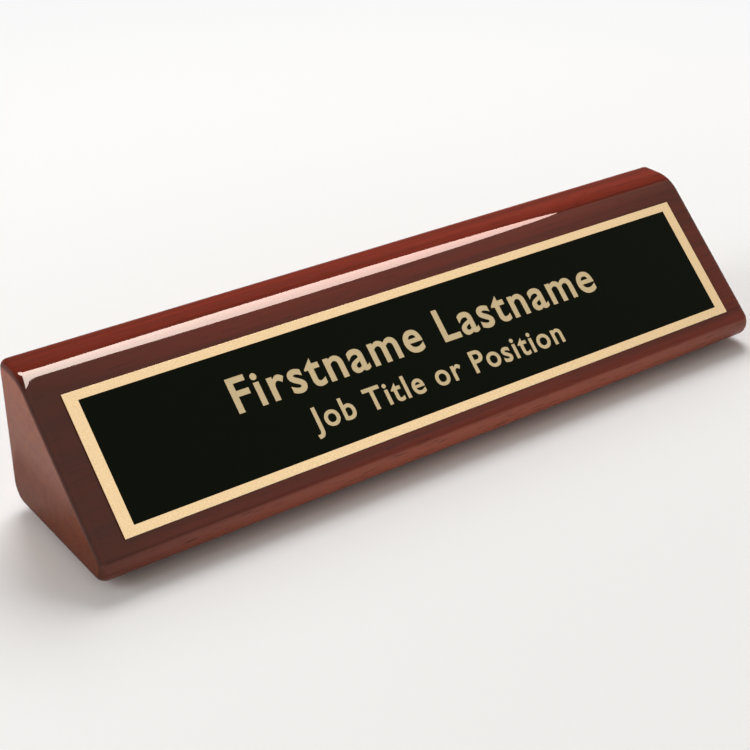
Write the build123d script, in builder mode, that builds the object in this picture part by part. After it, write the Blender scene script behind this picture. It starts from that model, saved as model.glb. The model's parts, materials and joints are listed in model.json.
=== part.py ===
"""Desk name plate: a lacquered wedge with an engraving plate stuck on its sloped face, on stick-on rubber feet.

The origin lies on the desk, under the middle of the part. X runs along the length, Y to the back and Z up.
All lengths are in millimetres and angles in degrees.
"""
from build123d import *

import os
from math import cos, radians, sin, tan

# Wedge block: its face slopes back from the nose to the top, and its back stands upright
block_length = 266.7
block_height = 49.6
top_depth = 14.7
face_slope = 42.4
nose_radius = 5.7
face_top_radius = 15.0
back_top_radius = 3.0
heel_radius = 7.2
end_radius = 2.6

# Engraving plate: margins from the ends of the block, and from the two roundings that bound the face's flat
plate_end_margin = 9.6
plate_top_margin = 3.7
plate_bottom_margin = 2.4
plate_thickness = 0.5
plate_edge_break = 0.1
border_end_width = 4.2
border_long_width = 3.1
coat_thickness = 0.05
adhesive_thickness = 0.25
adhesive_inset = 0.8

# Feet: margins from the roundings that bound the base's flat
foot_diameter = 10.0
foot_height = 2.0
foot_draft = 8.0
foot_edge_radius = 0.5
foot_end_margin = 8.0
foot_side_margin = 1.5
foot_adhesive_thickness = 0.2
foot_adhesive_inset = 0.5

# Section of the block: where its corners would meet if they were sharp
slope = radians(face_slope)
face_run = block_height / tan(slope)
face_length = block_height / sin(slope)
nose_setback = nose_radius / tan(slope / 2)
face_top_setback = face_top_radius * tan(slope / 2)
nose_overhang = nose_setback - nose_radius
block_depth = face_run + top_depth - nose_overhang
nose_y = -block_depth / 2 - nose_overhang
back_y = block_depth / 2
base_z = foot_height + foot_adhesive_thickness
top_z = base_z + block_height
nose = (nose_y, base_z)
heel = (back_y, base_z)
back_top = (back_y, top_z)
face_top = (back_y - top_depth, top_z)
corner_radii = (
    (nose, nose_radius),
    (heel, heel_radius),
    (back_top, back_top_radius),
    (face_top, face_top_radius),
)

# Plate: it fills the face's flat but for its margins, and its plane lies on the lacquer
plate_width = block_length - 2 * plate_end_margin
plate_low = nose_setback + plate_bottom_margin
plate_high = face_length - face_top_setback - plate_top_margin
plate_height = plate_high - plate_low
plate_middle = (plate_low + plate_high) / 2
face_plane = Plane(
    origin=(0, nose_y + plate_middle * cos(slope), base_z + plate_middle * sin(slope)),
    x_dir=(1, 0, 0),
    z_dir=(0, -sin(slope), cos(slope)),
)
plate_plane = face_plane.offset(adhesive_thickness)
coat_plane = plate_plane.offset(plate_thickness)

# Feet: one near each corner of the base's flat
foot_radius = foot_diameter / 2
foot_x = block_length / 2 - end_radius - foot_end_margin - foot_radius
front_foot_y = nose_y + nose_setback + foot_side_margin + foot_radius
rear_foot_y = back_y - heel_radius - foot_side_margin - foot_radius
foot_places = {
    "foot_front_left": (-foot_x, front_foot_y),
    "foot_front_right": (foot_x, front_foot_y),
    "foot_rear_left": (-foot_x, rear_foot_y),
    "foot_rear_right": (foot_x, rear_foot_y),
}

os.makedirs("parts", exist_ok=True)

# Solid wooden wedge, drawn end on, with every edge rounded
with BuildPart() as wedge_block:
    with BuildSketch(Plane.YZ) as wedge_section:
        with BuildLine():
            Polyline(nose, heel, back_top, face_top, close=True)
        make_face()
        for corner, radius in corner_radii:
            fillet(wedge_section.vertices().sort_by_distance(corner)[0], radius)
    extrude(amount=block_length / 2, both=True)
    fillet(wedge_block.faces().filter_by(Axis.X).edges(), end_radius)
wedge_block.part.label = "wedge_block"
export_step(wedge_block.part, "parts/wedge_block.step")

# Double-sided adhesive sheet between the lacquer and the plate, kept back from the plate's edges
with BuildPart() as plate_adhesive:
    with BuildSketch(face_plane):
        Rectangle(plate_width - 2 * adhesive_inset, plate_height - 2 * adhesive_inset)
    extrude(amount=adhesive_thickness)
plate_adhesive.part.label = "plate_adhesive"
export_step(plate_adhesive.part, "parts/plate_adhesive.step")

# Sheared brass sheet with its front edges broken, whose rim stays bare as the border
with BuildPart() as brass_plate:
    with BuildSketch(plate_plane):
        Rectangle(plate_width, plate_height)
    extrude(amount=plate_thickness)
    chamfer(brass_plate.faces().sort_by(Axis(plate_plane.origin, plate_plane.z_dir))[-1].edges(), plate_edge_break)
brass_plate.part.label = "brass_plate"
export_step(brass_plate.part, "parts/brass_plate.step")

# Black lacquer coat on the brass, inside the border
with BuildPart() as black_field:
    with BuildSketch(coat_plane):
        Rectangle(plate_width - 2 * border_end_width, plate_height - 2 * border_long_width)
    extrude(amount=coat_thickness)
black_field.part.label = "black_field"
export_step(black_field.part, "parts/black_field.step")

# Adhesive discs that hold the feet to the base
with BuildPart() as foot_adhesive:
    with BuildSketch(Plane.XY.offset(foot_height)):
        with Locations(*foot_places.values()):
            Circle(foot_radius - foot_adhesive_inset)
    extrude(amount=foot_adhesive_thickness)
foot_adhesive.part.label = "foot_adhesive"
export_step(foot_adhesive.part, "parts/foot_adhesive.step")

# Moulded rubber feet, narrowing towards the desk
for foot_name, (x, y) in foot_places.items():
    with BuildPart() as foot:
        with BuildSketch(Plane(origin=(x, y, foot_height), z_dir=(0, 0, -1))):
            Circle(foot_radius)
        extrude(amount=foot_height, taper=foot_draft)
        fillet(foot.edges().group_by(Axis.Z)[0], foot_edge_radius)
    foot.part.label = foot_name
    export_step(foot.part, f"parts/{foot_name}.step")
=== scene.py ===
"""Desk name plate, dressed.

A lacquered rosewood wedge carries a black-lacquered brass plate with cut letters and stands on rubber feet.
"""
import json
from math import pi, radians, tan

import bpy
import numpy as np
from bpy.props import FloatProperty, FloatVectorProperty, PointerProperty, StringProperty
from mathutils import Matrix, Vector


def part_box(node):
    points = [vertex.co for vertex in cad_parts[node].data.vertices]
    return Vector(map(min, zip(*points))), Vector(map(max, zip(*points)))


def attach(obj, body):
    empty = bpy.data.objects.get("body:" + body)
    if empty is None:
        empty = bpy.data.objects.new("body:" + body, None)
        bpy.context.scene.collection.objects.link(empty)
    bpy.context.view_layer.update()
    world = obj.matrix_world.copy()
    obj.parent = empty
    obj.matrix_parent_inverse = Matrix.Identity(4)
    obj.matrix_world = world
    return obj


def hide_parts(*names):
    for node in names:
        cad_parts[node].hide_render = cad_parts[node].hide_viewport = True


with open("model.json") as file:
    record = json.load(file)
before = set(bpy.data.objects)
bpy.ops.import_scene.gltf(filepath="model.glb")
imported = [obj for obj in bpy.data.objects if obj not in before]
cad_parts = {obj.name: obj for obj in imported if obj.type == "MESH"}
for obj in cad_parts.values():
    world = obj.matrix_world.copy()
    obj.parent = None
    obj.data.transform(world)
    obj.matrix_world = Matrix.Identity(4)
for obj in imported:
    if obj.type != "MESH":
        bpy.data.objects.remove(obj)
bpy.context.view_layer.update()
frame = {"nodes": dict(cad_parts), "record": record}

bl_info = {
    "name": "Desk Name Plate",
    "version": (1, 0, 0),
    "blender": (4, 5, 0),
    "location": "3D View > Sidebar > Name Plate",
    "description": "Dresses a desk name plate around its construction frame",
    "category": "Object",
}

MM = 0.001
TINY = 1e-9
BODY = "root"
MOUNTS = {mount["name"]: mount for mount in frame["record"]["mounts"]}
FEET = ("foot_front_left", "foot_front_right", "foot_rear_left", "foot_rear_right")

# Lean of the normal on an end's rounding, where the end's finish stops and where the length's is full
END_LEAN, LENGTH_LEAN = 0.2, 0.45


def linear(hex_colour):
    """Linear colour of an sRGB hex value, with full alpha."""
    srgb = np.array([int(hex_colour[i:i + 2], 16) for i in (1, 3, 5)]) / 255
    value = np.where(srgb <= 0.04045, srgb / 12.92, ((srgb + 0.055) / 1.055) ** 2.4)
    return (*value.tolist(), 1.0)


def length(name, description, default):
    """Property that holds a length, given in millimetres and kept in metres."""
    return FloatProperty(
        name=name, description=description, default=default * MM, min=0, precision=5, unit="LENGTH"
    )


def share(name, description, default):
    """Property that holds a share, from none to all."""
    return FloatProperty(
        name=name, description=description, default=default, min=0, max=1, subtype="FACTOR"
    )


def angle(name, description, default):
    """Property that holds an angle, given in degrees and kept in radians."""
    return FloatProperty(name=name, description=description, default=radians(default), subtype="ANGLE")


def brightness(name, description, default):
    """Property that holds how bright a lamp, a card or the room is."""
    return FloatProperty(name=name, description=description, default=default, min=0)


def colour(name, description, default):
    """Property that holds a colour, given as an sRGB hex value and kept linear."""
    return FloatVectorProperty(
        name=name, description=description, default=linear(default), min=0, max=1, size=4, subtype="COLOR"
    )


class BlockSettings(bpy.types.PropertyGroup):
    """Roundings of the wedge, and the stain, painted shade and painted nose reflection under its lacquer.
    """

    nose_radius: length("Nose", "Rounding of the front bottom edge", 5.7)
    heel_radius: length("Heel", "Rounding of the back bottom edge", 7.2)
    back_top_radius: length("Back top", "Rounding of the back top edge", 3.0)
    face_top_radius: length("Face top", "Rounding between the sloped face and the top", 15.0)
    end_radius: length("Ends", "Rounding of all edges at the two ends", 2.6)
    red: colour("Red", "Stained wood between the dark streaks", "#892b16")
    brown: colour("Brown", "Dark streaks of the stained wood", "#702414")
    end: colour("Ends", "Stained end grain", "#8f441c")
    pore: colour("Pores", "Open pores filled with dark stain", "#431a10")
    # Also the colour of painted shade, which the depth darkens towards where light falls less
    stain: colour("Stain", "Where the stain lies thick, on the sloped face", "#33170f")
    # Painted reflection: a paler colour on the nose that stands in for the floor it mirrors
    painted_sheen: colour("Rubbed", "Where the stain is rubbed thin, on the nose", "#a65b48")
    # Stain and painted shade on the face, deeper at its left, where light falls off
    stain_and_shade_left: share("Left stain", "Depth of the stain at the left of the face", 0.8)
    stain_and_shade_right: share("Right stain", "Depth of the stain at the right of the face", 0.24)
    # Darkens the face towards its top right
    face_corner_darkening: share("Corner stain", "Depth that the stain gains to the top right of the face", 0.42)
    # Painted shade: the top darker at its left, where light falls off
    top_shade: share("Top stain", "Depth of the stain at the left of the top", 0.25)
    # Stain and painted shade on the nose, deeper at its left where light falls off, and darker at its right
    # end
    nose_stain_and_shade_left: share("Left nose stain", "Depth of the stain at the left of the nose", 0.7)
    nose_end_darkening: share("Right nose stain", "Depth of the stain at the right end of the nose", 0.49)
    # Painted reflection: how much of the nose takes the paler colour
    nose_sheen: share("Nose rub", "How thin the stain is rubbed on the nose", 0.65)
    # Painted shade: the back darker, where the key lamp lights it brightly
    back_shade: share("Back stain", "Depth of the stain on the back", 0.38)
    # Stain at the edges of the ends, partly painted shade where the fill lamp lights the roundings
    edge_stain_and_shade: share("Edge stain", "Depth of the stain that gathers at the edges of the ends", 0.6)
    # Painted shade: the ends darker low down
    end_foot_shade: share("End stain", "Depth of the stain low on the ends", 0.7)


class PlateSettings(bpy.types.PropertyGroup):
    """Colours of the brass sheet and of its lacquer coat."""

    brass: colour("Brass", "Bare brass of the border", "#e9dab7")
    brass_dull: colour("Dull brass", "Pits of the blasted brass", "#c0ab7c")
    black: colour("Black", "Lacquer coat inside the border", "#080f07")


class LetterSettings(bpy.types.PropertyGroup):
    """Placeholder words that are cut through the black coat."""

    first_line: StringProperty(
        name="First line", description="Large upper line", default="Firstname Lastname"
    )
    second_line: StringProperty(
        name="Second line", description="Small lower line", default="Job Title or Position"
    )
    first_height: length("First height", "Height of the upper line's capitals", 12.0)
    second_height: length("Second height", "Height of the lower line's capitals", 8.0)
    first_rise: length("First rise", "Upper line's foot above the middle of the field", 0.6)
    second_drop: length("Second drop", "Lower line's foot below the middle of the field", 13.0)
    weight: share("Weight", "Growth of the strokes on each side, as a share of the capitals' height", 0.025)
    floor: colour("Cut brass", "Brass laid bare by the cutter", "#cec5a5")


class FootSettings(bpy.types.PropertyGroup):
    """Moulded feet and the adhesive that holds them and the plate."""

    edge_radius: length("Edge", "Rounding of a foot's lower edge", 0.5)
    draft: angle("Draft", "Slope of a foot's side", 8)
    rubber: colour("Rubber", "Moulded rubber", "#1b1a19")
    adhesive: colour("Adhesive", "Clear acrylic adhesive", "#d8d3c4")


class StageSettings(bpy.types.PropertyGroup):
    """Floor, lamps, cards and camera."""

    floor: colour("Floor", "Plain paper sweep", "#f8f8f8")
    lens: FloatProperty(
        name="Lens", description="Focal length on a 36 mm sensor", default=75.7, unit="CAMERA"
    )
    azimuth: angle("Azimuth", "Turn of the camera about the vertical", -35.94)
    elevation: angle("Elevation", "Tilt of the camera down to the object", 28.96)
    place: FloatVectorProperty(
        name="Place",
        description="Where the camera stands",
        default=(-0.28426, -0.36988, 0.27388),
        unit="LENGTH",
    )
    key: brightness("Key", "Lamp behind, at the right", 7.2)
    fill: brightness("Fill", "Lamp at the left end", 3.5)
    overhead: brightness("Overhead", "Softbox that the front top edge mirrors", 28.8)
    card: brightness("Card", "White card overhead that the sloped face mirrors", 1.17)
    # Painted shadow: how far a black card, seen only in mirrors, darkens the floor near the left end's foot
    flag: share("Flag", "How much of the floor a black card hides from the left end's lacquer", 0.45)
    room: brightness("Room", "Room overhead", 0.26)
    backdrop: brightness("Backdrop", "Room at the horizon", 0.9)
    warm: colour("Warm card", "Tint of the white card", "#ffeddd")
    dusk: colour("Dim card", "Tint of the white card to its right", "#e4d3c4")
    cloth: colour("Cloth", "Tint at the near side of the overhead softbox", "#ffede0")
    blush: colour("Blush", "Tint at the far side of the overhead softbox", "#e7c1b6")
    walls: colour("Walls", "Tint of the room overhead", "#fff8f0")


class NamePlateSettings(bpy.types.PropertyGroup):
    """All that a user would change."""

    block: PointerProperty(type=BlockSettings)
    plate: PointerProperty(type=PlateSettings)
    letters: PointerProperty(type=LetterSettings)
    feet: PointerProperty(type=FootSettings)
    stage: PointerProperty(type=StageSettings)


def add_node(tree, kind, inputs=None, **settings):
    """Adds a shader node with its settings, and sets or links its input sockets by name or number."""
    node = tree.nodes.new(kind)
    for name, value in settings.items():
        setattr(node, name, value)
    for name, value in (inputs or {}).items():
        if isinstance(value, bpy.types.NodeSocket):
            tree.links.new(value, node.inputs[name])
        else:
            node.inputs[name].default_value = value
    return node


def new_material(name):
    """Empty node material, its tree and its surface output."""
    material = bpy.data.materials.new(name)
    material.use_nodes = True
    tree = material.node_tree
    tree.nodes.clear()
    return material, tree, add_node(tree, "ShaderNodeOutputMaterial").inputs["Surface"]


def rosewood_lacquer(block):
    """Straight-grained rosewood, stained red-brown, under rubbed-out polyester lacquer.

    The eye sees dull dark streaks along the length, which end as a mottle on the ends, short pores in
    them, and above all the mirror of the lacquer. Real pores are about 0.15 mm wide; they are drawn wider,
    to show. The colour also holds painted shade, as deeper stain where light falls less, and a painted
    reflection on the nose, as a paler colour where it mirrors the floor.
    """
    streak_length, streak_width = 160 * MM, 3.5 * MM
    pore_length, pore_width = 9 * MM, 0.35 * MM
    ripple_size = 28 * MM
    material, tree, surface = new_material("rosewood_lacquer")
    place = add_node(tree, "ShaderNodeTexCoord").outputs["Object"]
    streak_scale = (1 / streak_length, 1 / streak_width, 1 / streak_width)
    along = add_node(tree, "ShaderNodeMapping", {"Vector": place, "Scale": streak_scale})
    streaks = add_node(
        tree,
        "ShaderNodeTexNoise",
        {
            "Vector": along.outputs["Vector"],
            "Scale": 1.0,
            "Detail": 4.0,
            "Roughness": 0.6,
            "Distortion": 0.6,
        },
    )
    # Long grain's share, which on the nose also mixes in the paler end colour as a painted reflection
    grain_and_sheen_mask = add_node(tree, "ShaderNodeAttribute", attribute_name="grain_and_sheen_share").outputs["Fac"]
    streak = add_node(
        tree, "ShaderNodeMapRange", {"Value": streaks.outputs["Fac"], "From Min": 0.38, "From Max": 0.66}
    )
    along_grain = add_node(
        tree,
        "ShaderNodeMix",
        {"Factor": streak.outputs["Result"], "A": block.red, "B": block.brown},
        data_type="RGBA",
    )
    mottle = add_node(tree, "ShaderNodeMapRange", {"Value": streak.outputs["Result"], "To Max": 0.4})
    end_grain = add_node(
        tree,
        "ShaderNodeMix",
        {"Factor": mottle.outputs["Result"], "A": block.end, "B": block.brown},
        data_type="RGBA",
    )
    wood = add_node(
        tree,
        "ShaderNodeMix",
        {"Factor": grain_and_sheen_mask, "A": end_grain.outputs["Result"], "B": along_grain.outputs["Result"]},
        data_type="RGBA",
    )
    pore_scale = (1 / pore_length, 1 / pore_width, 1 / pore_width)
    short = add_node(tree, "ShaderNodeMapping", {"Vector": place, "Scale": pore_scale})
    pores = add_node(
        tree, "ShaderNodeTexNoise", {"Vector": short.outputs["Vector"], "Scale": 1.0, "Detail": 1.0}
    )
    pore = add_node(
        tree,
        "ShaderNodeMapRange",
        {"Value": pores.outputs["Fac"], "From Min": 0.62, "From Max": 0.74, "To Max": 0.8},
    )
    # Depth of the stain and painted shade
    depth = add_node(tree, "ShaderNodeAttribute", attribute_name="stain_and_shade_depth").outputs["Fac"]
    # Painted reflection: the nose's share of the paler colour that stands in for the floor it mirrors
    sheen_mask = add_node(tree, "ShaderNodeAttribute", attribute_name="nose_sheen_share").outputs["Fac"]
    painted_sheen = add_node(
        tree,
        "ShaderNodeMix",
        {"Factor": sheen_mask, "A": wood.outputs["Result"], "B": block.painted_sheen},
        data_type="RGBA",
    )
    toned = add_node(
        tree,
        "ShaderNodeMix",
        {"Factor": depth, "A": painted_sheen.outputs["Result"], "B": block.stain},
        data_type="RGBA",
    )
    stain_shade_and_pores = add_node(
        tree,
        "ShaderNodeMix",
        {"Factor": pore.outputs["Result"], "A": toned.outputs["Result"], "B": block.pore},
        data_type="RGBA",
    )
    ripples = add_node(
        tree, "ShaderNodeTexNoise", {"Vector": place, "Scale": 1 / ripple_size, "Detail": 1.0}
    )
    ripple = add_node(
        tree, "ShaderNodeBump", {"Height": ripples.outputs["Fac"], "Strength": 0.02, "Distance": 1 * MM}
    )
    shader = add_node(
        tree,
        "ShaderNodeBsdfPrincipled",
        {
            "Base Color": stain_shade_and_pores.outputs["Result"],
            "Roughness": 0.45,
            "IOR": 1.5,
            "Specular IOR Level": 0.0,
            "Coat Weight": 0.56,
            "Coat Roughness": 0.02,
            "Coat IOR": 1.5,
            "Coat Normal": ripple.outputs["Normal"],
        },
    )
    tree.links.new(shader.outputs["BSDF"], surface)
    return material


def satin_brass(plate):
    """Sheet brass, sand blasted: a pale yellow metal with a sandy grain that blurs what it mirrors.

    Real grains are about 0.1 mm; they are drawn coarser, to show.
    """
    grain_size = 0.45 * MM
    material, tree, surface = new_material("satin_brass")
    place = add_node(tree, "ShaderNodeTexCoord").outputs["Object"]
    grain = add_node(tree, "ShaderNodeTexNoise", {"Vector": place, "Scale": 1 / grain_size, "Detail": 2.0})
    rough = add_node(
        tree,
        "ShaderNodeMapRange",
        {"Value": grain.outputs["Fac"], "From Min": 0.3, "From Max": 0.7, "To Min": 0.18, "To Max": 0.27},
    )
    dull = add_node(
        tree,
        "ShaderNodeMapRange",
        {"Value": grain.outputs["Fac"], "From Min": 0.3, "From Max": 0.7, "To Max": 0.3},
    )
    metal = add_node(
        tree,
        "ShaderNodeMix",
        {"Factor": dull.outputs["Result"], "A": plate.brass, "B": plate.brass_dull},
        data_type="RGBA",
    )
    shader = add_node(
        tree,
        "ShaderNodeBsdfPrincipled",
        {"Base Color": metal.outputs["Result"], "Metallic": 1.0, "Roughness": rough.outputs["Result"]},
    )
    tree.links.new(shader.outputs["BSDF"], surface)
    return material


def cut_brass(letters):
    """Brass laid bare by the cutter: dull, with the passes of the tool side by side.

    Real passes lie about 0.1 mm apart; they are drawn coarser, to show.
    """
    # Width of a pass, and of one wave of the texture at a scale of 1
    pass_width, wave_width = 0.5 * MM, 0.1 * pi
    material, tree, surface = new_material("cut_brass")
    place = add_node(tree, "ShaderNodeTexCoord").outputs["Object"]
    passes = add_node(
        tree,
        "ShaderNodeTexWave",
        {"Vector": place, "Scale": wave_width / pass_width, "Distortion": 1.5, "Detail": 1.0},
        bands_direction="DIAGONAL",
    )
    rough = add_node(
        tree, "ShaderNodeMapRange", {"Value": passes.outputs["Fac"], "To Min": 0.42, "To Max": 0.7}
    )
    shader = add_node(
        tree,
        "ShaderNodeBsdfPrincipled",
        {"Base Color": letters.floor, "Metallic": 1.0, "Roughness": rough.outputs["Result"]},
    )
    tree.links.new(shader.outputs["BSDF"], surface)
    return material


def black_lacquer(plate):
    """Baked black lacquer: near black, evenly satin, with a faint mottle in its gloss."""
    mottle_size = 6 * MM
    material, tree, surface = new_material("black_lacquer")
    place = add_node(tree, "ShaderNodeTexCoord").outputs["Object"]
    mottle = add_node(
        tree, "ShaderNodeTexNoise", {"Vector": place, "Scale": 1 / mottle_size, "Detail": 3.0}
    )
    rough = add_node(
        tree, "ShaderNodeMapRange", {"Value": mottle.outputs["Fac"], "To Min": 0.31, "To Max": 0.37}
    )
    shader = add_node(
        tree,
        "ShaderNodeBsdfPrincipled",
        {"Base Color": plate.black, "Roughness": rough.outputs["Result"], "Specular IOR Level": 0.04},
    )
    tree.links.new(shader.outputs["BSDF"], surface)
    return material


def moulded_rubber(feet):
    """Moulded black rubber: matt, with a fine pebble from the mould."""
    pebble_size = 0.4 * MM
    material, tree, surface = new_material("moulded_rubber")
    place = add_node(tree, "ShaderNodeTexCoord").outputs["Object"]
    pebble = add_node(tree, "ShaderNodeTexNoise", {"Vector": place, "Scale": 1 / pebble_size})
    bump = add_node(
        tree, "ShaderNodeBump", {"Height": pebble.outputs["Fac"], "Strength": 0.3, "Distance": 0.05 * MM}
    )
    rough = add_node(
        tree, "ShaderNodeMapRange", {"Value": pebble.outputs["Fac"], "To Min": 0.6, "To Max": 0.85}
    )
    shader = add_node(
        tree,
        "ShaderNodeBsdfPrincipled",
        {
            "Base Color": feet.rubber,
            "Roughness": rough.outputs["Result"],
            "IOR": 1.52,
            "Normal": bump.outputs["Normal"],
        },
    )
    tree.links.new(shader.outputs["BSDF"], surface)
    return material


def acrylic_adhesive(feet):
    """Acrylic adhesive film: milky, slightly glossy, seen only at its edge."""
    cloud_size = 2 * MM
    material, tree, surface = new_material("acrylic_adhesive")
    place = add_node(tree, "ShaderNodeTexCoord").outputs["Object"]
    cloud = add_node(tree, "ShaderNodeTexNoise", {"Vector": place, "Scale": 1 / cloud_size})
    rough = add_node(
        tree, "ShaderNodeMapRange", {"Value": cloud.outputs["Fac"], "To Min": 0.3, "To Max": 0.5}
    )
    shader = add_node(
        tree,
        "ShaderNodeBsdfPrincipled",
        {"Base Color": feet.adhesive, "Roughness": rough.outputs["Result"], "IOR": 1.47},
    )
    tree.links.new(shader.outputs["BSDF"], surface)
    return material


def paper_floor(stage):
    """Plain matt paper that fades, far from the object, into the evenly lit sweep of a studio."""
    near, far = 0.15, 0.6
    material, tree, surface = new_material("paper_floor")
    place = add_node(tree, "ShaderNodeTexCoord").outputs["Object"]
    distance = add_node(tree, "ShaderNodeVectorMath", {0: place}, operation="LENGTH")
    fade = add_node(
        tree,
        "ShaderNodeMapRange",
        {"Value": distance.outputs["Value"], "From Min": near, "From Max": far},
        interpolation_type="SMOOTHSTEP",
    )
    paper = add_node(
        tree,
        "ShaderNodeBsdfPrincipled",
        {"Base Color": stage.floor, "Roughness": 0.9, "Specular IOR Level": 0.0},
    )
    sweep = add_node(tree, "ShaderNodeEmission", {"Color": stage.floor})
    floor = add_node(
        tree,
        "ShaderNodeMixShader",
        {0: fade.outputs["Result"], 1: paper.outputs["BSDF"], 2: sweep.outputs["Emission"]},
    )
    tree.links.new(floor.outputs["Shader"], surface)
    return material


def mesh_piece(name, mesh, material):
    """Object at the origin that holds a finished mesh and its material."""
    mesh.name = name
    mesh.materials.clear()
    mesh.materials.append(material)
    piece = bpy.data.objects.new(name, mesh)
    bpy.context.scene.collection.objects.link(piece)
    return piece


def dress(nodes, material):
    """Gives the construction's own nodes a finished material."""
    for node in nodes:
        frame["nodes"][node].data.materials.clear()
        frame["nodes"][node].data.materials.append(material)


def surface_mesh(points, normals):
    """Smooth mesh of a grid of points, rows by columns, that closes round its columns.

    Quads join each point to its neighbours; the first and last rows are filled with one flat face each.
    """
    rows, columns = points.shape[:2]
    index = np.arange(rows * columns).reshape(rows, columns)
    beside = np.roll(index, -1, axis=1)
    quads = np.stack([index[:-1], beside[:-1], beside[1:], index[1:]], axis=-1).reshape(-1, 4)
    caps = [index[0, ::-1].tolist(), index[-1].tolist()]
    mesh = bpy.data.meshes.new("surface")
    mesh.from_pydata(points.reshape(-1, 3).tolist(), [], quads.tolist() + caps)
    mesh.shade_smooth()
    mesh.normals_split_custom_set_from_vertices(normals.reshape(-1, 3).tolist())
    return mesh


def wedge_section(block, low, high, slope, steps=28):
    """Outline of the wedge's section, as (y, z) points anticlockwise, and the outward normal at each point.

    Each corner is an arc: its centre lies at the corner's radius from both sides, and its angle runs from
    one side's normal to the next one's. The straight sides join the arcs.
    """
    radii = np.array([block.heel_radius, block.back_top_radius, block.face_top_radius, block.nose_radius])
    nose_y = low.y - block.nose_radius * (1 / tan(slope / 2) - 1)
    face_top_y = nose_y + (high.z - low.z) / tan(slope)
    corners = np.array([[high.y, low.z], [high.y, high.z], [face_top_y, high.z], [nose_y, low.z]])
    side_angles = np.array([-pi / 2, 0, pi / 2, pi / 2 + slope, 3 * pi / 2])
    sides = np.stack([np.cos(side_angles), np.sin(side_angles)], axis=-1)
    pairs = np.stack([sides[:-1], sides[1:]], axis=1)
    reach = np.einsum("csk,ck->cs", pairs, corners) - radii[:, None]
    centres = np.linalg.solve(pairs, reach[..., None])[..., 0]
    turn = side_angles[:-1, None] + np.diff(side_angles)[:, None] * np.linspace(0, 1, steps)
    normals = np.stack([np.cos(turn), np.sin(turn)], axis=-1)
    points = centres[:, None] + radii[:, None, None] * normals
    return points.reshape(-1, 2), normals.reshape(-1, 2)


def wedge_surface(block, low, high, slope, steps=14, stations=24):
    """Grid of points and normals over the wedge, from one end to the other.

    Along the length every row is the section's outline. In an end's rounding, at an angle t, the outline
    shrinks by radius * (1 - cos t) along its normals while the row moves outwards by radius * sin t.
    """
    outline, outward = wedge_section(block, low, high, slope)
    rounding = np.linspace(0, pi / 2, steps)
    between = np.linspace(-1, 1, stations + 2)[1:-1]
    turn = np.concatenate([-rounding[::-1], np.zeros(stations), rounding])
    along = np.concatenate([np.full(steps, -1.0), between, np.full(steps, 1.0)])
    middle = (low.x + high.x) / 2
    straight = (high.x - low.x) / 2 - block.end_radius
    x = middle + along * straight + block.end_radius * np.sin(turn)
    inset = block.end_radius * (1 - np.cos(turn))
    rows = outline[None] - inset[:, None, None] * outward[None]
    points = np.concatenate([np.broadcast_to(x[:, None, None], rows.shape[:2] + (1,)), rows], axis=-1)
    lean = np.broadcast_to(np.sin(turn)[:, None, None], rows.shape[:2] + (1,))
    normals = np.concatenate([lean, np.cos(turn)[:, None, None] * outward[None]], axis=-1)
    return points, normals


def foot_surface(feet, low, high, turns=48, steps=8):
    """Grid of points and normals over one foot: a profile of radius and height, turned about its axis.

    The profile rises from the flat bottom round the lower edge's arc and up the drafted side.
    """
    middle = (low + high) / 2
    top_radius = (high.x - low.x) / 2
    side_angle = -feet.draft
    arc = np.linspace(-pi / 2, side_angle, steps)
    height = high.z - low.z
    arc_top = feet.edge_radius * (1 + np.sin(side_angle))
    arc_reach = top_radius - (height - arc_top) * tan(feet.draft) - feet.edge_radius * np.cos(side_angle)
    radius = np.append(arc_reach + feet.edge_radius * np.cos(arc), top_radius)
    rise = np.append(feet.edge_radius * (1 + np.sin(arc)), height)
    lean = np.append(arc, side_angle)
    around = np.linspace(0, 2 * pi, turns, endpoint=False)
    ring = np.stack([np.cos(around), np.sin(around), np.zeros(turns)], axis=-1)
    up = np.array([0.0, 0.0, 1.0])
    base = np.array([middle.x, middle.y, low.z])
    points = base + radius[:, None, None] * ring + rise[:, None, None] * up
    normals = np.cos(lean)[:, None, None] * ring + np.sin(lean)[:, None, None] * up
    return points, normals


def face_matrix():
    """Places a flat drawing on the black field: x along the length, y up the slope, z outwards."""
    normal = Vector(MOUNTS["name_face"]["axis"])
    along = Vector((1, 0, 0))
    turn = Matrix((along, normal.cross(along), normal)).transposed().to_4x4()
    return Matrix.Translation(MOUNTS["name_face"]["pos_m"]) @ turn


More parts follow.
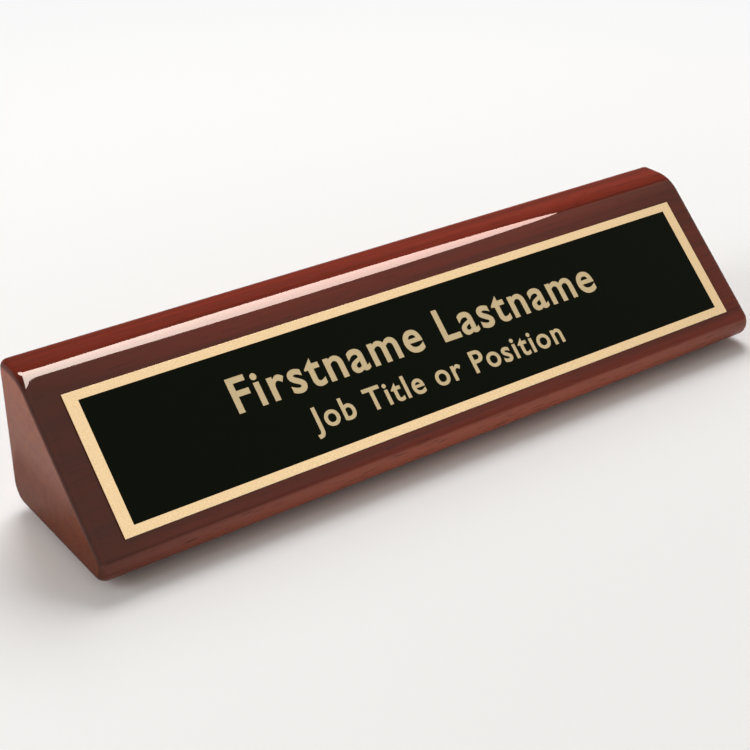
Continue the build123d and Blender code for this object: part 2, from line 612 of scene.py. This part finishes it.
def font_outlines(words, cap_height, foot_y, steps=6):
    """Closed outlines of a line of words in the plain built-in font, as arrays of (x, y) points.

    The line is centred on x = 0. Every stretch between two knots is a cubic curve: the sum of its four
    control points weighted by (1 - t)^3, 3 t (1 - t)^2, 3 t^2 (1 - t) and t^3.
    """
    # Height of the font's capitals as a share of its size, and the spacing of its letters
    cap_share, spacing = 0.729, 1.12
    text = bpy.data.curves.new("words", "FONT")
    text.body = words
    text.align_x = "CENTER"
    text.space_character = spacing
    text.size = cap_height / cap_share
    holder = bpy.data.objects.new("words", text)
    bpy.context.scene.collection.objects.link(holder)
    depsgraph = bpy.context.evaluated_depsgraph_get()
    curve = holder.to_curve(depsgraph)
    t = np.linspace(0, 1, steps, endpoint=False)
    weights = np.stack([(1 - t) ** 3, 3 * t * (1 - t) ** 2, 3 * t ** 2 * (1 - t), t ** 3], axis=-1)
    outlines = []
    for spline in curve.splines:
        knots = np.array([[p.co[:2], p.handle_right[:2], p.handle_left[:2]] for p in spline.bezier_points])
        ahead = np.roll(knots, -1, axis=0)
        control = np.stack([knots[:, 0], knots[:, 1], ahead[:, 2], ahead[:, 0]], axis=1)
        outlines.append(np.einsum("tc,kcx->ktx", weights, control).reshape(-1, 2) + (0, foot_y))
    holder.to_curve_clear()
    bpy.data.objects.remove(holder)
    return outlines


def filled_mesh(outlines, thickness):
    """Flat solid between the outlines, with even-odd holes, half of it above z = 0 and half below."""
    curve = bpy.data.curves.new("outline", "CURVE")
    curve.dimensions = "2D"
    curve.fill_mode = "BOTH"
    curve.extrude = thickness / 2
    for outline in outlines:
        spline = curve.splines.new("POLY")
        spline.points.add(len(outline) - 1)
        flat = np.zeros((len(outline), 4))
        flat[:, :2] = outline
        spline.points.foreach_set("co", flat.ravel())
        spline.use_cyclic_u = True
    holder = bpy.data.objects.new("outline", curve)
    bpy.context.scene.collection.objects.link(holder)
    depsgraph = bpy.context.evaluated_depsgraph_get()
    mesh = bpy.data.meshes.new_from_object(holder.evaluated_get(depsgraph))
    bpy.data.objects.remove(holder)
    return mesh


def side_normals(outline):
    """Right-hand normals of an outline's sides, each from a point to the next."""
    side = np.roll(outline, -1, axis=0) - outline
    normal = np.stack([side[:, 1], -side[:, 0]], axis=-1)
    return normal / np.maximum(np.linalg.norm(normal, axis=1), TINY)[:, None]


def signed_area(outline):
    """Area inside an outline, positive where it runs anticlockwise."""
    ahead = np.roll(outline, -1, axis=0)
    return np.sum(outline[:, 0] * ahead[:, 1] - outline[:, 1] * ahead[:, 0]) / 2


def clear_of(points, outlines, gap):
    """Tells which points lie at least a gap away from every side of the outlines.

    A side's nearest point is its start plus the side times the share at which the point's foot falls,
    from 0 to 1.
    """
    start = np.concatenate(outlines)
    side = np.concatenate([np.roll(outline, -1, axis=0) - outline for outline in outlines])
    reach = points[:, None] - start
    foot = np.sum(reach * side, axis=2) / np.maximum(np.sum(side ** 2, axis=1), TINY ** 2)
    away = reach - np.clip(foot, 0, 1)[..., None] * side
    return np.linalg.norm(away, axis=2).min(axis=1) >= gap


def thickened(outlines, growth):
    """Outlines of heavier letters: each point moves out along the mitre of its two sides' normals.

    Points that end up nearer than that to another side, as in narrow crotches, are dropped.
    """
    sharpest, slack = 0.3, 0.98
    outwards = np.sign(sum(signed_area(outline) for outline in outlines))
    heavier = []
    for outline in outlines:
        after = side_normals(outline)
        before = np.roll(after, 1, axis=0)
        mitre = (before + after) / np.maximum(1 + np.sum(before * after, axis=1), sharpest)[:, None]
        moved = outline + outwards * growth * mitre
        heavier.append(moved[clear_of(moved, outlines, slack * growth)])
    return heavier


def word_outlines(letters):
    """Outlines of both lines of words."""
    first = font_outlines(letters.first_line, letters.first_height, letters.first_rise)
    second = font_outlines(letters.second_line, letters.second_height, -letters.second_drop)
    heavy_first = thickened(first, letters.weight * letters.first_height)
    heavy_second = thickened(second, letters.weight * letters.second_height)
    return heavy_first + heavy_second


def coat_size():
    """Width, height and thickness of the black coat, from its node's corners in the plane of the face."""
    mesh = frame["nodes"]["black_field"].data
    corners = np.zeros(len(mesh.vertices) * 3)
    mesh.vertices.foreach_get("co", corners)
    turned = corners.reshape(-1, 3) @ np.array(face_matrix().to_3x3())
    return np.ptp(turned, axis=0)


def paint(mesh, name, values):
    """Stores one number for each of a mesh's points."""
    mesh.attributes.new(name, "FLOAT", "POINT").data.foreach_set("value", np.ravel(values))


def turn_from_face(normals, slope):
    """Angle that the section has turned from the sloped face: below 0 to the top, above 0 to the nose."""
    turned = np.arctan2(normals[..., 2], normals[..., 1]) - (pi / 2 + slope)
    return (turned + pi) % (2 * pi) - pi


def lean_from_length(normals):
    """How far each point's normal leans from the length's direction: 0 on an end and 1 along the length."""
    return np.hypot(normals[..., 1], normals[..., 2])


def on_length(normals):
    """One along the length and nought on the ends; it changes low on an end's rounding."""
    return np.interp(lean_from_length(normals), [END_LEAN, LENGTH_LEAN], [0, 1])


def on_nose(normals, slope):
    """One round the nose, and nought on the face and the underside."""
    # The nose's band reaches one where the nose starts to mirror the floor, for the painted reflection
    face, front, under, base = np.radians([20, 28, 110, 140])
    return np.interp(turn_from_face(normals, slope), [face, front, under, base], [0, 1, 1, 0])


def grain_and_sheen_share(normals, slope):
    """Long grain's share: all along the length, none on the ends, and half on the nose, as painted
    reflection.
    """
    return on_length(normals) * (1 - on_nose(normals, slope) / 2)


def nose_sheen_share(block, normals, slope):
    """Share of the painted reflection's paler colour at each point: some on the nose, none elsewhere."""
    return block.nose_sheen * on_nose(normals, slope) * on_length(normals)


def stain_and_shade_depth(block, points, normals, slope):
    """Depth of the stain and painted shade at each point of the wedge: 1 where deepest and 0 as sprayed.

    It is full on the sloped face, partly stain and partly painted shade, fades over the top's rounding and
    has some depth again on the back, as painted shade where the key lamp lights it brightly. The nose has
    its own depth. Depths fall from their value at the left, and at the right, by exp(-distance / fall):
    deeper at the left is painted shade where light falls off. The one at the right of the face grows evenly
    with the height, darker towards the top right. On the ends it grows evenly from the top to the foot, as
    painted shade low on the ends, and at their edges more stain gathers, partly as painted shade where the
    fill lamp lights the roundings.
    """
    back, top, bare, full, under, base, heel = np.radians([-110, -75, -30, -14, 90, 130, 175])
    fall, nose_fall = 60 * MM, 35 * MM
    clear_lean = 0.95
    x, z = points[..., 0], points[..., 2]
    rise = (z - z.min()) / np.ptp(z)
    near_left = np.exp((x.min() - x) / fall)
    near_right = np.exp((x - x.max()) / fall)
    nose_end = np.exp((x - x.max()) / nose_fall)
    # Stain and painted shade on the face, deeper at its left, where light falls off
    face = block.stain_and_shade_right + (block.stain_and_shade_left - block.stain_and_shade_right) * near_left
    face = face + block.face_corner_darkening * near_right * rise
    nose = block.nose_stain_and_shade_left * near_left + block.nose_end_darkening * nose_end
    turned = turn_from_face(normals, slope)
    on_face = np.interp(turned, [bare, full, under, base], [0, 1, 1, 0])
    on_back = np.interp(turned, [back, top, base, heel], [1, 0, 0, 1])
    on_top = 1 - on_face - on_back
    nose_share = on_nose(normals, slope)
    # Painted shade: the top deeper at its left, and the back, which the key lamp lights brightly
    broad = on_face * face + on_top * block.top_shade * near_left + on_back * block.back_shade
    lengthwise = broad * (1 - nose_share) + nose * nose_share
    # Painted shade: the ends darker towards the foot
    end_shade = block.end_foot_shade * (1 - rise)
    along = on_length(normals)
    depth = along * lengthwise + (1 - along) * end_shade
    # Stain that gathers at the ends' edges, partly painted shade where the fill lamp lights the roundings
    edge = np.interp(lean_from_length(normals), [0, END_LEAN, LENGTH_LEAN, clear_lean], [0, 1, 1, 0])
    return depth + (1 - depth) * block.edge_stain_and_shade * edge


class NAMEPLATE_OT_block(bpy.types.Operator):
    """Builds the lacquered wedge in place of the plain one"""

    bl_idname = "nameplate.block"
    bl_label = "Wedge Block"

    def execute(self, context):
        block = context.scene.name_plate.block
        low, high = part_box("wedge_block")
        normal = MOUNTS["name_face"]["axis"]
        slope = float(np.arctan2(-normal[1], normal[2]))
        points, normals = wedge_surface(block, low, high, slope)
        mesh = surface_mesh(points, normals)
        # Stain and painted shade, the nose's painted reflection, and the share of long grain
        paint(mesh, "stain_and_shade_depth", stain_and_shade_depth(block, points, normals, slope))
        paint(mesh, "nose_sheen_share", nose_sheen_share(block, normals, slope))
        paint(mesh, "grain_and_sheen_share", grain_and_sheen_share(normals, slope))
        piece = mesh_piece("rosewood_wedge", mesh, rosewood_lacquer(block))
        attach(piece, BODY)
        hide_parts("wedge_block")
        return {"FINISHED"}


class NAMEPLATE_OT_plate(bpy.types.Operator):
    """Finishes the brass sheet, and cuts the words out of the black coat"""

    bl_idname = "nameplate.plate"
    bl_label = "Engraving Plate"

    def execute(self, context):
        settings = context.scene.name_plate
        dress(["brass_plate"], satin_brass(settings.plate))
        width, height, thickness = coat_size()
        rim = np.array([[-1, -1], [1, -1], [1, 1], [-1, 1]]) * (width / 2, height / 2)
        mesh = filled_mesh([rim] + word_outlines(settings.letters), thickness)
        mesh.transform(face_matrix() @ Matrix.Translation((0, 0, -thickness / 2)))
        piece = mesh_piece("black_coat", mesh, black_lacquer(settings.plate))
        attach(piece, BODY)
        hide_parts("black_field")
        return {"FINISHED"}


class NAMEPLATE_OT_letters(bpy.types.Operator):
    """Builds the cut letters: floors of bare brass, low in the openings of the coat"""

    bl_idname = "nameplate.letters"
    bl_label = "Cut Letters"

    def execute(self, context):
        letters = context.scene.name_plate.letters
        thickness = coat_size()[2]
        floor_thickness = thickness / 5
        mesh = filled_mesh(word_outlines(letters), floor_thickness)
        mesh.transform(face_matrix() @ Matrix.Translation((0, 0, floor_thickness / 2 - thickness)))
        piece = mesh_piece("cut_letters", mesh, cut_brass(letters))
        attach(piece, BODY)
        return {"FINISHED"}


class NAMEPLATE_OT_feet(bpy.types.Operator):
    """Builds the moulded feet, and finishes the adhesive of the feet and the plate"""

    bl_idname = "nameplate.feet"
    bl_label = "Rubber Feet"

    def execute(self, context):
        feet = context.scene.name_plate.feet
        rubber = moulded_rubber(feet)
        for node in FEET:
            mesh = surface_mesh(*foot_surface(feet, *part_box(node)))
            piece = mesh_piece("rubber_" + node, mesh, rubber)
            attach(piece, BODY)
            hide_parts(node)
        dress(["foot_adhesive", "plate_adhesive"], acrylic_adhesive(feet))
        return {"FINISHED"}


def add_softbox(name, place, side, strength):
    """Square lamp that faces the origin from its place; it lights, but isn't mirrored."""
    lamp = bpy.data.lights.new(name, "AREA")
    lamp.shape = "SQUARE"
    lamp.size = side
    lamp.energy = strength * pi * side ** 2
    holder = bpy.data.objects.new(name, lamp)
    holder.location = place
    holder.rotation_euler = (-Vector(place)).to_track_quat("-Z", "Y").to_euler()
    holder.visible_glossy = False
    bpy.context.scene.collection.objects.link(holder)


def glowing_cloth(name, strength, near_tint, far_tint, near_x, far_x):
    """Lit front of a softbox or card, whose glow changes its tint from one place along x to another."""
    material, tree, surface = new_material(name)
    place = add_node(tree, "ShaderNodeTexCoord").outputs["Object"]
    along = add_node(tree, "ShaderNodeSeparateXYZ", {"Vector": place})
    change = add_node(
        tree,
        "ShaderNodeMapRange",
        {"Value": along.outputs["X"], "From Min": near_x, "From Max": far_x},
    )
    tint = add_node(
        tree,
        "ShaderNodeMix",
        {"Factor": change.outputs["Result"], "A": near_tint, "B": far_tint},
        data_type="RGBA",
    )
    glow = add_node(tree, "ShaderNodeEmission", {"Color": tint.outputs["Result"], "Strength": strength})
    tree.links.new(glow.outputs["Emission"], surface)
    return material


def painted_shadow_card(stage, hidden_x, bare_x):
    """Black card of painted shadow that thins out to nothing from one place along x to another."""
    material, tree, surface = new_material("painted_shadow_card")
    place = add_node(tree, "ShaderNodeTexCoord").outputs["Object"]
    along = add_node(tree, "ShaderNodeSeparateXYZ", {"Vector": place})
    hides = add_node(
        tree,
        "ShaderNodeMapRange",
        {"Value": along.outputs["X"], "From Min": bare_x, "From Max": hidden_x, "To Max": stage.flag},
        interpolation_type="SMOOTHSTEP",
    )
    clear = add_node(tree, "ShaderNodeBsdfTransparent")
    black = add_node(tree, "ShaderNodeBsdfDiffuse", {"Color": (0, 0, 0, 1)})
    card = add_node(
        tree,
        "ShaderNodeMixShader",
        {0: hides.outputs["Result"], 1: clear.outputs["BSDF"], 2: black.outputs["BSDF"]},
    )
    tree.links.new(card.outputs["Shader"], surface)
    return material


def add_mirrored(name, outlines, material):
    """Flat shapes of the stage that are seen only in mirrors."""
    mesh = bpy.data.meshes.new(name)
    starts = np.cumsum([0] + [len(outline) for outline in outlines])
    faces = [range(start, stop) for start, stop in zip(starts[:-1], starts[1:])]
    mesh.from_pydata(np.concatenate(outlines).tolist(), [], faces)
    shape = mesh_piece(name, mesh, material)
    shape.visible_camera = False
    shape.visible_diffuse = False
    shape.visible_transmission = False
    shape.visible_shadow = False
    return shape


def add_overhead_softbox(stage):
    """Softbox overhead that only the lacquered wood mirrors: an oval whose left side runs on into a tail.

    The oval's edge is centre + (half length * cos t, half width * sin t), without the stretch at the left,
    from where straight edges lead round the tail. A second, lower one hangs beside it for the left corner.
    """
    height, corner_height = 2.0, 1.1
    near_side, far_side = 0.7, 1.75
    centre, half_size = (1.09, 0.70), (0.64, 0.58)
    open_from, oval_points = radians(130), 48
    tail = [
        (0.655, 1.21), (0.06, 1.2), (-0.38, 1.35), (-1.2, 1.45), (-0.97, 1.07), (-0.31, 0.64),
        (0.3, 0.27),
    ]
    corner = [
        (0.244, 0.127), (0.2385, 0.103), (0.235, 0.06), (0.2326, -0.012), (0.1, -0.07),
        (-0.1, -0.116), (-0.45, -0.166), (-0.94, -0.131), (-1.18, -0.05), (-0.75, 0.04),
        (-0.5, 0.18), (-0.23, 0.354), (0.2, 0.354),
    ]
    t = np.linspace(-open_from, open_from, oval_points)
    oval = np.array(centre) + np.array(half_size) * np.stack([np.cos(t), np.sin(t)], axis=-1)
    large = np.insert(np.concatenate([oval, tail]), 2, height, axis=1)
    small = np.insert(np.array(corner), 2, corner_height, axis=1)
    cloth = glowing_cloth(
        "softbox_cloth", stage.overhead, stage.cloth, stage.blush, near_side, far_side
    )
    box = add_mirrored("overhead_softbox", [large, small], cloth)
    lacquered = bpy.data.collections.new("lacquered_wood")
    lacquered.objects.link(bpy.data.objects["rosewood_wedge"])
    box.light_linking.receiver_collection = lacquered


def add_white_card(stage):
    """White card, as wide as a wall, level over the front for the plate and the face to mirror."""
    height, half_width, front, back = 2.05, 5.5, -5.5, 0.5
    even_to, dim_from = 1.7, 2.45
    card = [(-half_width, front), (half_width, front), (half_width, back), (-half_width, back)]
    outline = np.insert(np.array(card), 2, height, axis=1)
    paper = glowing_cloth("white_card", stage.card, stage.warm, stage.dusk, even_to, dim_from)
    add_mirrored("white_card", [outline], paper)


def add_painted_shadow(stage):
    """Painted shadow along the left end: a black card on the floor, seen only in mirrors, which deepens the
    end's mirror near its foot.

    It slants to the back as it leaves the end, so that the back doesn't mirror it.
    """
    low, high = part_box("wedge_block")
    lift, margin, slant = 0.3 * MM, 4 * MM, 36 * MM
    hidden_x, bare_x = low.x - 9 * MM, low.x - 19 * MM
    front, back = low.y - margin, high.y + margin
    card = [
        (low.x, front, lift),
        (low.x, back, lift),
        (bare_x, back + slant, lift),
        (bare_x, front + slant, lift),
    ]
    add_mirrored("painted_shadow_card", [np.array(card)], painted_shadow_card(stage, hidden_x, bare_x))


def room_light(stage):
    """Room that is dim overhead and pale round the horizon; the camera sees the floor's colour instead."""
    horizon_low, horizon_high = 0.22, 0.36
    world = bpy.data.worlds.new("room")
    world.use_nodes = True
    tree = world.node_tree
    tree.nodes.clear()
    direction = add_node(tree, "ShaderNodeTexCoord").outputs["Generated"]
    height = add_node(tree, "ShaderNodeSeparateXYZ", {"Vector": direction})
    strength = add_node(
        tree,
        "ShaderNodeMapRange",
        {
            "Value": height.outputs["Z"],
            "From Min": horizon_low,
            "From Max": horizon_high,
            "To Min": stage.backdrop,
            "To Max": stage.room,
        },
        interpolation_type="SMOOTHSTEP",
    )
    light = add_node(
        tree, "ShaderNodeBackground", {"Color": stage.walls, "Strength": strength.outputs["Result"]}
    )
    sweep = add_node(tree, "ShaderNodeBackground", {"Color": stage.floor})
    seen = add_node(tree, "ShaderNodeLightPath").outputs["Is Camera Ray"]
    room = add_node(
        tree,
        "ShaderNodeMixShader",
        {0: seen, 1: light.outputs["Background"], 2: sweep.outputs["Background"]},
    )
    add_node(tree, "ShaderNodeOutputWorld", {"Surface": room.outputs["Shader"]})
    return world


class NAMEPLATE_OT_stage(bpy.types.Operator):
    """Lays the floor, hangs the softboxes and cards, and sets up the camera"""

    bl_idname = "nameplate.stage"
    bl_label = "Studio Stage"

    def execute(self, context):
        scene = context.scene
        stage = scene.name_plate.stage
        half = 5.0
        corners = [(-half, -half, 0), (half, -half, 0), (half, half, 0), (-half, half, 0)]
        mesh = bpy.data.meshes.new("floor")
        mesh.from_pydata(corners, [], [(0, 1, 2, 3)])
        mesh_piece("floor", mesh, paper_floor(stage))

        key_place, key_side = (1.2, 1.9, 2.2), 1.9
        fill_place, fill_side = (-1.6, 0.3, 0.9), 1.0
        add_softbox("key_softbox", key_place, key_side, stage.key)
        add_softbox("fill_softbox", fill_place, fill_side, stage.fill)
        add_overhead_softbox(stage)
        add_white_card(stage)
        # Painted shadow that the left end mirrors near its foot
        add_painted_shadow(stage)
        scene.world = room_light(stage)
        scene.view_settings.view_transform = "Standard"

        camera = bpy.data.cameras.new("camera")
        camera.lens = stage.lens
        camera.sensor_width = 36
        camera.clip_start = 0.01
        holder = bpy.data.objects.new("camera", camera)
        holder.location = stage.place
        holder.rotation_euler = (pi / 2 - stage.elevation, 0, stage.azimuth)
        scene.collection.objects.link(holder)
        scene.camera = holder
        return {"FINISHED"}


OPERATORS = (
    NAMEPLATE_OT_block,
    NAMEPLATE_OT_plate,
    NAMEPLATE_OT_letters,
    NAMEPLATE_OT_feet,
    NAMEPLATE_OT_stage,
)


class NAMEPLATE_PT_sidebar(bpy.types.Panel):
    """Sidebar list of the pieces and their settings"""

    bl_idname = "NAMEPLATE_PT_sidebar"
    bl_label = "Desk Name Plate"
    bl_space_type = "VIEW_3D"
    bl_region_type = "UI"
    bl_category = "Name Plate"

    def draw(self, context):
        settings = context.scene.name_plate
        for operator in OPERATORS:
            self.layout.operator(operator.bl_idname)
        for name in NamePlateSettings.__annotations__:
            group = getattr(settings, name)
            box = self.layout.box()
            box.label(text=name.capitalize())
            for field in group.__annotations__:
                box.prop(group, field)


CLASSES = (
    BlockSettings,
    PlateSettings,
    LetterSettings,
    FootSettings,
    StageSettings,
    NamePlateSettings,
    *OPERATORS,
    NAMEPLATE_PT_sidebar,
)


def register():
    for cls in CLASSES:
        bpy.utils.register_class(cls)
    bpy.types.Scene.name_plate = PointerProperty(type=NamePlateSettings)


def unregister():
    del bpy.types.Scene.name_plate
    for cls in reversed(CLASSES):
        bpy.utils.unregister_class(cls)


def main():
    register()
    bpy.ops.nameplate.block()
    bpy.ops.nameplate.plate()
    bpy.ops.nameplate.letters()
    bpy.ops.nameplate.feet()
    bpy.ops.nameplate.stage()


if __name__ == "__main__":
    main()
